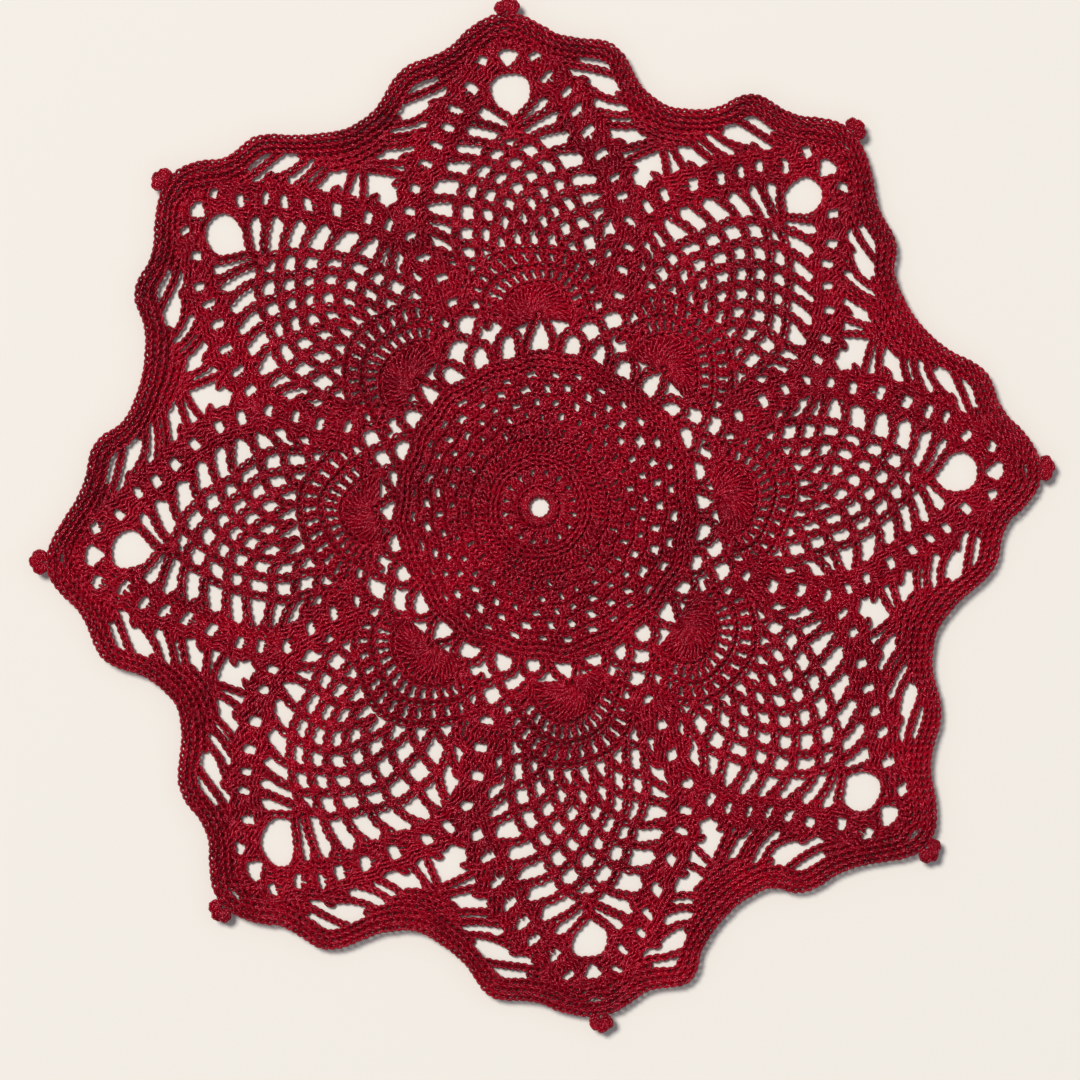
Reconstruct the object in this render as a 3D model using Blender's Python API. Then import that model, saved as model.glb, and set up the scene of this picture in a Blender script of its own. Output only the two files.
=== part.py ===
"""A round crocheted doily with eight pineapple points, lying flat.

The doily is worked outwards from a small ring in the middle.  Each worked
section is a flat plate with its real outline and its larger openings.
Lengths are in metres, +Z is up and the doily rests on z = 0.
"""

import math

import bmesh
import bpy

MM = 0.001

# The whole doily
REPEATS = 8
REPEAT_ANGLE = 360.0 / REPEATS
THICKNESS = 2.2 * MM
GAP = 0.3 * MM
MIDDLE = (-1.30 * MM, 2.15 * MM)

# Medallion: radii where one worked round ends and the next begins
EYE_RADIUS = 3.0 * MM
RING_RADIUS = 6.1 * MM
SPOKES_RADIUS = 14.4 * MM
DENSE_RADIUS = 19.8 * MM
MESH_RADIUS = 36.6 * MM
RIM_RADIUS = 41.6 * MM
SPOKES = 16

# Pineapple: a fan of long stitches, a net of chain loops and a column of
# shells on each side.  (across, out) are measured along the point's own axis.
FAN_BASE = 49.8 * MM
FAN_RADIUS = 10.0 * MM
FAN_SPREAD = 105.0
NET_OUT = [v * MM for v in (103.6, 101.4, 97.7, 93.9, 90.2, 86.4)]
NET_PITCH = [v * MM for v in (9.8, 9.6, 9.1, 8.6, 7.8, 7.5)]
NET_SAG = [v / MM for v in (0.012, 0.013, 0.015, 0.017, 0.018, 0.021)]
NET_HOLE = 0.60
SHELL_WIDTH = 5.5 * MM
SHELL_COLUMN = [(u * MM, v * MM) for u, v in (
    (20.0, 52.6), (22.4, 58.1), (25.2, 63.7), (28.2, 70.1), (30.6, 76.8), (30.2, 83.5),
    (28.1, 89.6), (24.4, 96.1), (20.3, 101.7), (16.8, 107.0), (14.6, 112.2))]
SPLIT_OUT = 93.4 * MM
SPLIT_ROW = 6

# Border: the outer edge of one half of a point, from its tip to the valley
EDGE = [(u * MM, v * MM) for u, v in (
    (0.0, 135.8), (5.0, 134.2), (10.5, 129.6), (14.6, 126.4), (19.6, 125.0),
    (26.4, 124.0), (30.6, 121.2), (33.4, 116.6), (37.0, 112.6))]
VALLEY_OUT = 116.6 * MM
EDGE_WIDTH = 4.6 * MM
PICOT_RADIUS = 1.45 * MM
PICOT_OUT = 137.9 * MM

# The hand-made lay.  Each list runs clockwise from the point at +Y.
RIM_STRETCH = (1.013, 1.020, 1.040, 1.033, 1.013, 0.973, 0.940, 0.967)
FAN_STRETCH = (1.049, 1.011, 0.995, 1.016, 0.984, 0.973, 0.902, 0.978)
POINT_STRETCH = (0.990, 0.976, 1.004, 1.028, 1.024, 1.016, 0.988, 0.986)
RIGHT_STRETCH = (1.018, 0.965, 0.996, 1.024, 1.071, 1.006, 0.955, 1.000)
VALLEY_STRETCH = (0.983, 0.983, 0.979, 1.042, 1.040, 0.972, 0.980, 1.000)
LEFT_STRETCH = (1.009, 1.013, 0.983, 1.076, 1.065, 1.013, 0.992, 1.010)
FAN_LEAN = (-2.0, -4.5, -3.0, -5.0, -9.5, -7.0, -1.5, 0.0)
POINT_LEAN = (-3.7, -4.5, -4.2, -2.6, -5.8, -5.9, -6.0, -3.4)
VALLEY_LEAN = (-4.5, -5.5, -4.5, -4.0, -6.5, -5.5, -4.5, -4.5)
EDGE_LAY_RADIUS = 112.0 * MM

COTTON_RED = (0.33, 0.002, 0.018, 1.0)


def clear_scene():
    for item in list(bpy.data.objects):
        bpy.data.objects.remove(item, do_unlink=True)


def thread_material(name, shade):
    """Mercerised cotton thread; shade lightens or darkens the dye a little."""
    material = bpy.data.materials.new(name)
    material.use_nodes = True
    surface = material.node_tree.nodes["Principled BSDF"]
    red, green, blue, alpha = COTTON_RED
    surface.inputs["Base Color"].default_value = (red * shade, green * shade, blue * shade, alpha)
    surface.inputs["Roughness"].default_value = 0.45
    surface.inputs["Metallic"].default_value = 0.0
    material.diffuse_color = (red * shade, green * shade, blue * shade, alpha)
    return material


def around(values, angle):
    """Smooth value at an angle, from values spaced evenly round the doily."""
    place = angle / 360.0 * len(values)
    first = math.floor(place)
    t = place - first
    a, b, c, d = (values[(first + step) % len(values)] for step in (-1, 0, 1, 2))
    bend = (2 * a - 5 * b + 4 * c - d) * t * t
    swing = (3 * b - a - 3 * c + d) * t * t * t
    return 0.5 * (2 * b + (c - a) * t + bend + swing)


def ramp(value, low, high):
    """0 below low, 1 above high and a smooth step between."""
    t = min(max((value - low) / (high - low), 0.0), 1.0)
    return t * t * (3 - 2 * t)


def interleave(*lists):
    return [value for group in zip(*lists) for value in group]


EDGE_STRETCH = interleave(POINT_STRETCH, RIGHT_STRETCH, VALLEY_STRETCH, LEFT_STRETCH)
EDGE_LEAN = interleave(POINT_LEAN, VALLEY_LEAN)


def lay(angle, radius):
    """Place on the table of a spot of the regular star.

    The angle is in degrees clockwise from +Y.  Blocking by hand left every
    repeat a little turned, stretched or pulled in.
    """
    to_rim = ramp(radius, SPOKES_RADIUS, RIM_RADIUS)
    to_fan = ramp(radius, RIM_RADIUS, FAN_BASE)
    to_edge = ramp(radius, FAN_BASE, EDGE_LAY_RADIUS)
    rim = 1 + (around(RIM_STRETCH, angle) - 1) * to_rim
    fan = rim + (around(FAN_STRETCH, angle) - rim) * to_fan
    stretch = fan + (around(EDGE_STRETCH, angle) - fan) * to_edge
    lean = around(FAN_LEAN, angle) * to_rim
    lean += (around(EDGE_LEAN, angle) - lean) * to_edge
    turn = math.radians(angle + lean)
    reach = radius * stretch
    return (MIDDLE[0] + reach * math.sin(turn), MIDDLE[1] + reach * math.cos(turn))


def spot(axis_angle, across, out):
    """A place given across and out along an axis of the regular star."""
    angle = axis_angle + math.degrees(math.atan2(across, out))
    return lay(angle, math.hypot(across, out))


def spots(axis_angle, points):
    return [spot(axis_angle, across, out) for across, out in points]


def mirrored(points):
    """The points on the other side of the axis, in reverse order."""
    return [(-across, out) for across, out in reversed(points)]


def shifted(points, distance):
    """A line moved sideways by distance, to the right of its direction."""
    moved = []
    for i, (across, out) in enumerate(points):
        before = points[max(i - 1, 0)]
        after = points[min(i + 1, len(points) - 1)]
        run = (after[0] - before[0], after[1] - before[1])
        length = math.hypot(*run)
        moved.append((across + run[1] / length * distance, out - run[0] / length * distance))
    return moved


def turned(points, degrees):
    """The points seen from an axis that lies clockwise by degrees."""
    sine = math.sin(math.radians(degrees))
    cosine = math.cos(math.radians(degrees))
    return [(u * cosine - v * sine, u * sine + v * cosine) for u, v in points]


def oval(across, out, half_across, half_out, tilt=0.0, count=8):
    """Points round a small opening."""
    sine = math.sin(math.radians(tilt))
    cosine = math.cos(math.radians(tilt))
    points = []
    for i in range(count):
        turn = 2 * math.pi * (i + 0.5) / count
        u = half_across * math.cos(turn)
        v = half_out * math.sin(turn)
        points.append((across + u * cosine - v * sine, out + u * sine + v * cosine))
    return points


def circle(radius, count):
    return [lay(360.0 * i / count, radius) for i in range(count)]


def plate(name, loops, material):
    """A flat closed body; the first loop is its outline, the rest its holes."""
    bm = bmesh.new()
    edges = []
    for loop in loops:
        corners = [bm.verts.new((x, y, 0.0)) for x, y in loop]
        for corner, following in zip(corners, corners[1:] + corners[:1]):
            edges.append(bm.edges.new((corner, following)))
    bmesh.ops.triangle_fill(bm, use_beauty=True, edges=edges)
    grown = bmesh.ops.extrude_face_region(bm, geom=bm.faces[:])
    top = [item for item in grown["geom"] if isinstance(item, bmesh.types.BMVert)]
    bmesh.ops.translate(bm, verts=top, vec=(0.0, 0.0, THICKNESS))
    bmesh.ops.recalc_face_normals(bm, faces=bm.faces[:])
    mesh = bpy.data.meshes.new(name)
    bm.to_mesh(mesh)
    bm.free()
    mesh.materials.append(material)
    body = bpy.data.objects.new(name, mesh)
    bpy.context.scene.collection.objects.link(body)
    return body


def build_medallion(material):
    """The round middle: ring, spokes, dense rounds, open rounds and rim."""
    half_gap = GAP / 2
    rounds = (
        ("centre_ring", EYE_RADIUS, RING_RADIUS, 32),
        ("dense_rounds", SPOKES_RADIUS, DENSE_RADIUS, 48),
        ("medallion_rim", MESH_RADIUS, RIM_RADIUS, 64),
    )
    for name, inner, outer, count in rounds:
        loops = [circle(outer - half_gap, count), circle(inner + half_gap, count)]
        plate(name, loops, material)
    slots = []
    for i in range(SPOKES):
        axis = 360.0 * (i + 0.5) / SPOKES
        slots.append(spots(axis, oval(0, 8.5 * MM, 0.8 * MM, 1.9 * MM, count=6)))
    loops = [circle(SPOKES_RADIUS - half_gap, 48), circle(RING_RADIUS + half_gap, 32)]
    plate("spoke_round", loops + slots, material)
    holes = []
    for row, radius in enumerate((30.4 * MM, 34.2 * MM)):
        for i in range(2 * SPOKES):
            axis = 360.0 * (i + 0.5 * (row % 2)) / (2 * SPOKES)
            holes.append(spots(axis, oval(0, radius, 0.9 * MM, 1.1 * MM, count=4)))
    loops = [circle(MESH_RADIUS - half_gap, 64), circle(DENSE_RADIUS + half_gap, 48)]
    plate("open_rounds", loops + holes, material)


def lattice_edge(margin):
    """Outer edge of the arch lattice over one repeat, as (angle, radius)."""
    half = ((0.0, 49.2), (6.0, 48.3), (11.8, 47.5), (14.6, 50.0), (18.0, 52.8), (22.5, 56.0))
    left = [(-angle, radius * MM + margin) for angle, radius in reversed(half[1:-1])]
    return left + [(angle, radius * MM + margin) for angle, radius in half]


def build_lattice(material):
    """Rows of chain arches between the rim and the pineapples."""
    outline = []
    holes = []
    for k in range(REPEATS):
        axis = REPEAT_ANGLE * k
        outline += [lay(axis + angle, radius) for angle, radius in lattice_edge(0.0)]
        for angle, half_across in ((0.0, 2.6), (11.25, 3.1), (22.5, 3.1), (33.75, 3.1)):
            ring = oval(0, 44.7 * MM, half_across * MM, 1.9 * MM, count=6)
            holes.append(spots(axis + angle, ring))
        for angle in (18.2, 26.8):
            ring = oval(0, 49.5 * MM, 2.0 * MM, 1.7 * MM, count=4)
            holes.append(spots(axis + angle, ring))
        holes.append(spots(axis + 22.5, oval(0, 53.3 * MM, 2.0 * MM, 1.6 * MM, count=4)))
    inner = circle(RIM_RADIUS + GAP / 2, 64)
    plate("arch_lattice", [outline, inner] + holes, material)


def build_fan(number, axis, material):
    """Long stitches worked into one loop, spread past half a turn."""
    points = [(0.0, FAN_BASE)]
    steps = 12
    for i in range(steps + 1):
        turn = math.radians(FAN_SPREAD * (2 * i / steps - 1))
        reach = FAN_RADIUS - GAP / 2
        points.append((reach * math.sin(turn), FAN_BASE + reach * math.cos(turn)))
    plate(f"pineapple_fan_{number}", [spots(axis, points)], material)


def net_knot(row, place):
    """Where a chain loop of the net is caught; row 0 is the last one left."""
    across = (place - row / 2) * NET_PITCH[row]
    return (across, NET_OUT[row] - NET_SAG[row] * across * across)


def net_holes():
    """Four-sided openings between the loops of neighbouring rows."""
    holes = []
    for row in range(1, len(NET_OUT) - 1):
        for i in range(row):
            corners = [net_knot(row, i), net_knot(row - 1, i), net_knot(row, i + 1),
                       net_knot(row + 1, i + 1)]
            middle = [sum(axis) / 4 for axis in zip(*corners)]
            holes.append([(middle[0] + (u - middle[0]) * NET_HOLE,
                           middle[1] + (v - middle[1]) * NET_HOLE) for u, v in corners])
    return holes


def net_side_line():
    """The edge of the net towards its right-hand shell column."""
    return shifted(SHELL_COLUMN, -(SHELL_WIDTH / 2 + GAP))


def build_net(number, axis, material):
    """The pineapple itself: a net of chain loops that loses one in each row."""
    foot = [(math.radians(a), r * MM + GAP) for a, r in ((12.9, 48.7), (14.6, 50.2), (16.8, 52.1))]
    right = [(r * math.sin(a), r * math.cos(a)) for a, r in foot]
    right += net_side_line()[1:]
    top = [(9.6 * MM, 113.8 * MM)]
    inner = []
    steps = 12
    for i in range(steps + 1):
        turn = math.radians((FAN_SPREAD - 7) * (1 - 2 * i / steps))
        reach = FAN_RADIUS + GAP / 2
        inner.append((reach * math.sin(turn), FAN_BASE + reach * math.cos(turn)))
    notch = [(0.0, 107.2 * MM)]
    outline = right + top + notch + mirrored(right + top) + list(reversed(inner))
    holes = net_holes()
    sides = net_side_line()
    for row in range(1, len(NET_OUT) - 1):
        knot = net_knot(row, row)
        level = sides[-1 - row - 1]
        across = (knot[0] + level[0]) / 2 + 0.5 * MM
        out = (knot[1] + level[1]) / 2 - 1.0 * MM
        wide = max((level[0] - knot[0]) * 0.32, 1.2 * MM)
        ring = oval(across, out, wide, 1.0 * MM, tilt=-14.0, count=4)
        holes += [ring, mirrored(ring)]
    plate(f"pineapple_net_{number}", [spots(axis, loop) for loop in [outline] + holes], material)


def build_columns(number, axis, material):
    """Two shell columns side by side that part where the valley opens."""
    half = REPEAT_ANGLE / 2
    net_side = turned(shifted(SHELL_COLUMN, -SHELL_WIDTH / 2), half)
    valley_side = turned(shifted(SHELL_COLUMN, SHELL_WIDTH / 2)[SPLIT_ROW:], half)
    left = net_side + list(reversed(valley_side))
    foot = [(0.0, 56.0 * MM + GAP)]
    left[0] = (-4.3 * MM, 55.0 * MM + GAP)
    outline = foot + left + [(0.0, SPLIT_OUT)] + mirrored(left)
    plate(f"shell_columns_{number}", [spots(axis + half, outline)], material)


def edge_line(margin):
    """The border's edge in one valley, from its left-hand tip to its floor."""
    half = REPEAT_ANGLE / 2
    outer = turned(EDGE, half) + [(0.0, VALLEY_OUT)]
    moved = shifted(outer, margin)
    moved[-1] = (0.0, VALLEY_OUT - margin)
    return moved


def build_valley(number, axis, material):
    """Ladder loops and a wedge of close stitches that fill one valley."""
    half = REPEAT_ANGLE / 2
    arm = turned(shifted(SHELL_COLUMN, SHELL_WIDTH / 2 + GAP)[SPLIT_ROW + 1:], half)
    border = edge_line(EDGE_WIDTH + GAP)[4:]
    start = (-9.4 * MM, 99.3 * MM)
    left = [start] + arm + [(-31.0 * MM, 114.6 * MM)] + border
    outline = [(0.0, 102.6 * MM)] + left + mirrored(left[:-1])
    holes = []
    for across, out, wide, tall, tilt in ((8.6, 104.3, 3.6, 0.8, 14), (14.0, 107.8, 4.0, 0.8, 20),
                                          (20.4, 113.6, 5.2, 1.3, 18)):
        ring = oval(across * MM, out * MM, wide * MM, tall * MM, tilt, count=4)
        holes += [ring, mirrored(ring)]
    loops = [spots(axis + half, loop) for loop in [outline] + holes]
    plate(f"valley_wedge_{number}", loops, material)


def build_tip(number, axis, material):
    """Close stitches above the last opening of a pineapple."""
    rim = [(u, v) for u, v in shifted(EDGE, EDGE_WIDTH + GAP)[:4]]
    rim[0] = (0.0, EDGE[0][1] - EDGE_WIDTH - 1.3 * MM)
    lower = [(13.6 * MM, 119.2 * MM), (12.2 * MM, 115.2 * MM), (8.6 * MM, 117.6 * MM),
             (4.0 * MM, 119.4 * MM)]
    right = rim[1:] + lower
    outline = [rim[0]] + right + mirrored(right)
    holes = [oval(0, 123.6 * MM, 1.6 * MM, 1.3 * MM, count=6)]
    for side in (-1, 1):
        holes.append(oval(side * 6.0 * MM, 124.2 * MM, 0.8 * MM, 1.2 * MM, side * 12.0, 6))
    plate(f"point_cluster_{number}", [spots(axis, loop) for loop in [outline] + holes], material)


def build_border(material):
    """Rows of close stitches round the whole edge."""
    outer = []
    inner = []
    for k in range(REPEATS):
        axis = REPEAT_ANGLE * (k + 0.5)
        for margin, ring in ((0.0, outer), (EDGE_WIDTH, inner)):
            left = edge_line(margin)
            if margin:
                left[0] = turned([(0.0, EDGE[0][1] - margin - 1.0 * MM)], REPEAT_ANGLE / 2)[0]
            ring += spots(axis, left + mirrored(left[1:-1]))
    plate("border", [outer, inner], material)


def build_picot(number, axis, material):
    """A tiny knot of three loops on the very tip."""
    points = []
    for lobe in (-1, 0, 1):
        for step in (-1, 0, 1):
            turn = math.radians(75 * lobe + 32 * step)
            reach = PICOT_RADIUS * (1.25 if step == 0 else 1.0)
            points.append((reach * math.sin(turn), PICOT_OUT + reach * math.cos(turn)))
    points += [(0.9 * MM, PICOT_OUT - PICOT_RADIUS), (-0.9 * MM, PICOT_OUT - PICOT_RADIUS)]
    plate(f"tip_picot_{number}", [spots(axis, points)], material)


def build_doily():
    clear_scene()
    close_work = thread_material("thread_close_work", 1.0)
    open_work = thread_material("thread_open_work", 0.92)
    build_medallion(close_work)
    build_lattice(open_work)
    for k in range(REPEATS):
        number = k + 1
        axis = REPEAT_ANGLE * k
        build_fan(number, axis, close_work)
        build_net(number, axis, open_work)
        build_columns(number, axis, close_work)
        build_valley(number, axis, open_work)
        build_tip(number, axis, close_work)
        build_picot(number, axis, close_work)
    build_border(close_work)


build_doily()
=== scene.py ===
"""A red crocheted pineapple doily: its thread, its stitches, its colour and its light."""

import math

import bpy
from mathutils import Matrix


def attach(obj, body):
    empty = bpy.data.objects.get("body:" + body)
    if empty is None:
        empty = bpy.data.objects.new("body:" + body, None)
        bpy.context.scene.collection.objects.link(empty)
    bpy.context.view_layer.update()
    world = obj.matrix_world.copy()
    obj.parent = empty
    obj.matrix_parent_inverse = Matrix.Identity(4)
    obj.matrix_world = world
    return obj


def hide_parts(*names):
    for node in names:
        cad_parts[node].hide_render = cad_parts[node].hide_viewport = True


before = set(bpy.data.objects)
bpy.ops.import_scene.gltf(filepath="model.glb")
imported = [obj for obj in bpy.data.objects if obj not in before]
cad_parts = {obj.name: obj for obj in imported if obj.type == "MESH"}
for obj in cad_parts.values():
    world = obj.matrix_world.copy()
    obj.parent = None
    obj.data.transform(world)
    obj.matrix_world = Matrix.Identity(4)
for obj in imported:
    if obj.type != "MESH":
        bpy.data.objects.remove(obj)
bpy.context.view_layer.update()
MM = 0.001


# ---- Camera, table and light ----------------------------------------------------
# The doily lies on a pale table and is seen from straight above, a little below
# its middle.  A broad soft lamp stands to the upper left, in a bright white room.

VIEW_WIDTH = 297.0 * MM
CAMERA_HEIGHT = 1.2
CAMERA_PLACE = (-1.16 * MM, -6.79 * MM)

camera_data = bpy.data.cameras.new("camera")
camera_data.sensor_width = 36.0
camera_data.lens = camera_data.sensor_width * CAMERA_HEIGHT / VIEW_WIDTH
camera_data.clip_start = 0.01
camera = bpy.data.objects.new("camera", camera_data)
camera.location = (*CAMERA_PLACE, CAMERA_HEIGHT)
bpy.context.scene.collection.objects.link(camera)
bpy.context.scene.camera = camera
bpy.context.scene.view_settings.view_transform = "Standard"

TABLE_COLOUR = (0.90, 0.865, 0.795, 1.0)
TABLE_HALF = 1.5

table_mesh = bpy.data.meshes.new("table")
table_corners = [(-TABLE_HALF, -TABLE_HALF, 0), (TABLE_HALF, -TABLE_HALF, 0),
                 (TABLE_HALF, TABLE_HALF, 0), (-TABLE_HALF, TABLE_HALF, 0)]
table_mesh.from_pydata(table_corners, [], [(0, 1, 2, 3)])
table = bpy.data.objects.new("table", table_mesh)
bpy.context.scene.collection.objects.link(table)
table_finish = bpy.data.materials.new("pale_table")
table_finish.use_nodes = True
table_surface = table_finish.node_tree.nodes["Principled BSDF"]
table_surface.inputs["Base Color"].default_value = TABLE_COLOUR
table_surface.inputs["Roughness"].default_value = 0.9
table_surface.inputs["Specular IOR Level"].default_value = 0.1
table_mesh.materials.append(table_finish)

LAMP_PLACE = (-6.0, 5.8, 13.2)
LAMP_SIZE = 5.6
LAMP_POWER = 2260.0
ROOM_BRIGHTNESS = 0.27

lamp_data = bpy.data.lights.new("window_lamp", "AREA")
lamp_data.shape = "DISK"
lamp_data.size = LAMP_SIZE
lamp_data.energy = LAMP_POWER
lamp_data.color = (1.0, 0.97, 0.93)
lamp = bpy.data.objects.new("window_lamp", lamp_data)
lamp.location = LAMP_PLACE
lamp.rotation_euler = (-lamp.location).to_track_quat("-Z", "Y").to_euler()
bpy.context.scene.collection.objects.link(lamp)

room = bpy.data.worlds.new("white_room")
room.use_nodes = True
room.node_tree.nodes["Background"].inputs["Color"].default_value = (0.84, 0.88, 1.0, 1.0)
room.node_tree.nodes["Background"].inputs["Strength"].default_value = ROOM_BRIGHTNESS
bpy.context.scene.world = room


# ---- Centre ring ----------------------------------------------------------------
# A loop of mercerised crochet cotton, size 5 to 10, drawn up round an open eye.
# Short stitches are worked over the loop, and a chained edge runs round them.

# Blocking by hand left each repeat a little turned, stretched or pulled in.  Each
# list runs clockwise from the point at +Y, in even steps, and says by how much the
# regular star is stretched (as a share) or leans (in degrees) at one radius.
MIDDLE = (-1.30 * MM, 2.15 * MM)
ROUNDS_STRETCH = (1.005, 0.998, 0.995, 1.005, 0.985, 0.980, 0.950, 0.970)
RIM_STRETCH = (1.013, 1.020, 1.040, 1.033, 1.013, 0.973, 0.940, 0.967)
FAN_STRETCH = (1.049, 1.011, 0.995, 1.016, 0.984, 0.973, 0.902, 0.978)
CLUSTER_STRETCH = (0.997, 0.973, 1.006, 1.031, 1.040, 1.009, 0.979, 0.991)
POINT_STRETCH = (0.995, 0.982, 1.004, 1.030, 1.030, 1.020, 1.000, 0.996)
RIGHT_STRETCH = (1.014, 0.962, 0.994, 1.008, 1.065, 0.996, 0.976, 1.015)
VALLEY_STRETCH = (0.992, 0.982, 0.978, 1.042, 1.036, 0.980, 0.984, 1.003)
LEFT_STRETCH = (1.005, 1.016, 0.985, 1.076, 1.064, 0.998, 0.992, 0.994)
NET_STRETCH = (1.001, 0.997, 0.973, 0.985, 0.997, 0.990, 1.024, 1.042,
               1.034, 1.030, 1.027, 0.962, 0.966, 0.969, 0.979, 0.999)
ROUNDS_LEAN = (3.5, 1.0, -0.3, -1.9, -3.4, -1.3, 2.9, 4.9)
FAN_LEAN = (0.0, -2.7, -2.4, -4.9, -9.0, -6.7, -0.9, 0.8)
NET_LEAN = (-4.2, -5.3, -4.2, -3.2, -5.0, -5.6, -4.0, -5.5,
            -7.8, -9.2, -6.3, -6.4, -5.0, -3.2, -3.0, -3.4)
POINT_LEAN = (-4.0, -4.8, -4.6, -3.7, -6.6, -6.9, -6.1, -4.0)
VALLEY_LEAN = (-4.2, -4.6, -5.3, -3.2, -6.6, -5.8, -4.4, -5.0)

# The radii of those lists, in millimetres, and of the regular star's repeats.
SPOKES_RADIUS = 14.4
ROUNDS_RADIUS = 30.0
RIM_RADIUS = 41.6
FAN_BASE = 49.8
NET_RADIUS = 90.0
CLUSTER_RADIUS = 112.0
TIP_RADIUS = 133.0
REPEATS = 8
REPEAT_ANGLE = 45.0
SWAY = 0.42

# The thread, and how high its rows and its long stitches lie over the table.
CORD_HEIGHT = 1.05 * MM
POST_HEIGHT = 1.15 * MM
THREAD_RADIUS = 0.45 * MM
EDGE_CURL = 2.2 * MM
STITCH_LENGTH = 1.9 * MM
PLY_PITCH = 2.6 * MM
PLIES = 3.0
THREAD_SIDES = 5
UNEVENNESS = 0.24


def around(values, angle):
    """The smooth value at an angle in degrees, from values spaced evenly round the doily."""
    place = angle / 360.0 * len(values)
    first = math.floor(place)
    t = place - first
    a, b, c, d = (values[(first + step) % len(values)] for step in (-1, 0, 1, 2))
    bend = (2 * a - 5 * b + 4 * c - d) * t * t
    swing = (3 * b - a - 3 * c + d) * t * t * t
    return 0.5 * (2 * b + (c - a) * t + bend + swing)


def ramp(value, low, high):
    """0 below low, 1 above high and a smooth step between."""
    t = min(max((value - low) / (high - low), 0.0), 1.0)
    return t * t * (3 - 2 * t)


def interleave(*lists):
    """One list that takes a value from each list in turn."""
    return [value for group in zip(*lists) for value in group]


WIDE_STRETCH = interleave(CLUSTER_STRETCH, RIGHT_STRETCH, VALLEY_STRETCH, LEFT_STRETCH)
EDGE_STRETCH = interleave(POINT_STRETCH, RIGHT_STRETCH, VALLEY_STRETCH, LEFT_STRETCH)
EDGE_LEAN = interleave(POINT_LEAN, VALLEY_LEAN)
STRETCHES = ((SPOKES_RADIUS, (1.0,)), (ROUNDS_RADIUS, ROUNDS_STRETCH), (RIM_RADIUS, RIM_STRETCH),
             (FAN_BASE, FAN_STRETCH), (NET_RADIUS, NET_STRETCH), (CLUSTER_RADIUS, WIDE_STRETCH),
             (TIP_RADIUS, EDGE_STRETCH))
LEANS = ((SPOKES_RADIUS, (0.0,)), (ROUNDS_RADIUS, ROUNDS_LEAN), (RIM_RADIUS, FAN_LEAN),
         (FAN_BASE, FAN_LEAN), (NET_RADIUS, NET_LEAN), (CLUSTER_RADIUS, EDGE_LEAN))


def blend(rounds, angle, radius):
    """A value at an angle and radius, from lists of values at growing radii."""
    value = around(rounds[0][1], angle)
    for (inner, _), (outer, values) in zip(rounds, rounds[1:]):
        value += (around(values, angle) - value) * ramp(radius, inner, outer)
    return value


def lay(angle, radius, height):
    """Where a spot of the regular star lies, as a place in metres.

    The angle is in degrees clockwise from +Y, the radius in millimetres.  A slow and
    a quick wave make the rows a little uneven, more so away from the middle.
    """
    turn = math.radians(angle + blend(LEANS, angle, radius))
    reach = radius * blend(STRETCHES, angle, radius)
    sway = SWAY * ramp(radius, 3.0, ROUNDS_RADIUS)
    turn += sway * math.sin(radius * 0.41 + 5.0 * turn + 1.0) / max(reach, 1.0)
    turn += sway * math.sin(radius * 0.23 - 11.0 * turn) / max(reach, 1.0)
    reach += sway * (math.sin(7.0 * turn + radius * 0.17) + math.sin(19.0 * turn - radius * 0.11))
    reach *= MM
    return (MIDDLE[0] + reach * math.sin(turn), MIDDLE[1] + reach * math.cos(turn), height)


def polar(axis, points, height=CORD_HEIGHT):
    """Places given as (angle from the axis, radius in mm)."""
    return [lay(axis + angle, radius, height) for angle, radius in points]


def local(axis, points, height=CORD_HEIGHT):
    """Places given as (mm across, mm out) along an axis of the star."""
    return [lay(axis + math.degrees(math.atan2(across, out)), math.hypot(across, out), height)
            for across, out in points]


def curved(points, steps=4):
    """A smooth line through the points."""
    padded = [points[0], *points, points[-1]]
    line = []
    for a, b, c, d in zip(padded, padded[1:], padded[2:], padded[3:]):
        for i in range(steps):
            t = i / steps
            line.append(tuple(
                0.5 * (2 * q + (r - p) * t + (2 * p - 5 * q + 4 * r - s) * t * t
                       + (3 * q - p - 3 * r + s) * t ** 3)
                for p, q, r, s in zip(a, b, c, d)))
    return line + [points[-1]]


def ring(radius, height=CORD_HEIGHT, count=120):
    """A closed row round the middle."""
    return ([lay(360.0 * i / count, radius, height) for i in range(count)], True)


def spokes(count, inner, outer, offset=0.0, group=1, step=0.0, height=POST_HEIGHT):
    """Groups of long stitches between two radii, a step in millimetres apart."""
    found = []
    for i in range(count):
        for place in range(group):
            angle = 360.0 * (i + offset) / count
            side = place - (group - 1) / 2
            low_turn = math.degrees(side * step / inner)
            high_turn = math.degrees(side * step / outer)
            found.append((lay(angle + low_turn, inner, height), lay(angle + high_turn, outer, height)))
    return found


def stitch_guide(name, strands):
    """The centre line of a stitch, as one curve object with a strand for each list."""
    curve = bpy.data.curves.new(name, "CURVE")
    curve.dimensions = "3D"
    for points, closed in strands:
        spline = curve.splines.new("POLY")
        spline.points.add(len(points) - 1)
        spline.use_cyclic_u = closed
        for point, place in zip(spline.points, points):
            point.co = (*place, 1.0)
    guide = bpy.data.objects.new(name, curve)
    bpy.context.scene.collection.objects.link(guide)
    return guide


def chain_stitch(length):
    """A loop drawn up through the last one and laid forward, with its back thread."""
    leg = [(-0.65, -0.20, -0.22), (-0.30, -0.40, 0.30), (0.10, -0.70, 0.24), (0.48, -0.60, 0.06)]
    head = [(0.72, 0.0, -0.10)]
    back = [(-0.35, 0.05, -0.58), (0.15, -0.10, -0.52), (0.35, -0.20, -0.22)]
    loop = leg + head + [(x, -y, z) for x, y, z in reversed(leg)] + back
    return stitch_guide("chain_stitch", [([(x * length, y * MM, z * MM) for x, y, z in loop], False)])


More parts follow.
